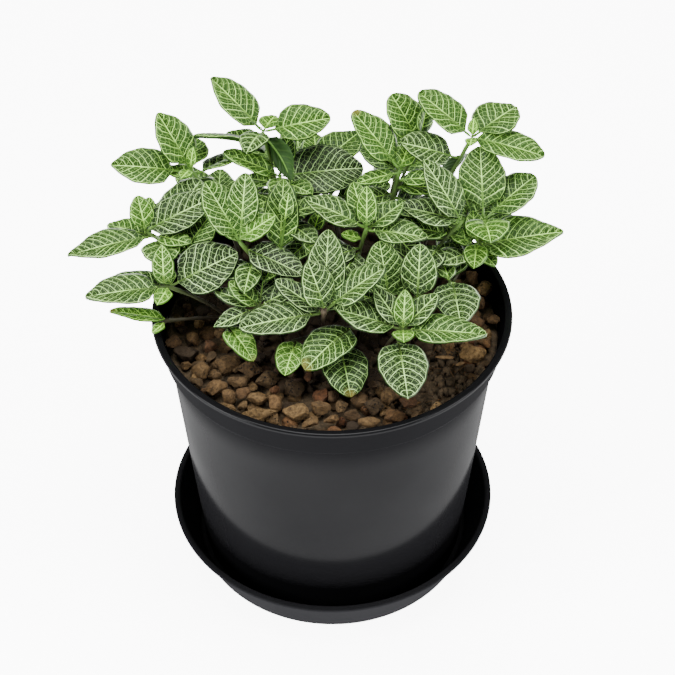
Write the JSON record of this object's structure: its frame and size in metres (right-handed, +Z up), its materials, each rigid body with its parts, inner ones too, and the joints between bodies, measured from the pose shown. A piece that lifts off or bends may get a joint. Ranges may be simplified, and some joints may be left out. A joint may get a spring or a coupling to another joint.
{
  "type": "potted nerve plant",
  "caption": "Low leafy houseplant with pale-veined oval leaves, in a round black plastic pot with a gravel top, standing on its saucer.",
  "frame": {"origin": "centre of the saucer's flat underside", "axes": "+Z up along the pot's axis, -Y towards the viewer of the picture, +X to the viewer's right"},
  "size_m": [0.2033, 0.1699, 0.2041],
  "materials": {
    "saucer_plastic": "satin black",
    "pot_plastic": "satin charcoal",
    "soil": "damp, crumbly",
    "gravel": "rough, dry",
    "leaf": "soft sheen, net of pale veins"
  },
  "bodies": {
    "root": {"saucer": "saucer_plastic", "pot": "pot_plastic", "soil": "soil", "gravel": "gravel", "leafy_stem_left_upper": "leaf", "leafy_stem_left_middle": "leaf", "leafy_stem_left_lower": "leaf", "leafy_stem_left_inner": "leaf", "leafy_stem_back_left": "leaf", "leafy_stem_back_middle": "leaf", "leafy_stem_middle_left": "leaf", "leafy_stem_middle_back": "leaf", "leafy_stem_middle": "leaf", "leafy_stem_right_inner": "leaf", "leafy_stem_back_right": "leaf", "leafy_stem_right_upper": "leaf", "leafy_stem_right_middle": "leaf", "leafy_stem_right_lower": "leaf", "leafy_stem_front_right": "leaf", "leafy_stem_right_front": "leaf", "leafy_stem_front_inner": "leaf", "leafy_stem_front_middle": "leaf", "leafy_stem_front_left": "leaf", "leafy_stem_rear_left": "leaf", "leafy_stem_rear_middle": "leaf", "leafy_stem_rear_right": "leaf", "leafy_stem_right_rear": "leaf"}
  },
  "joints": []
}
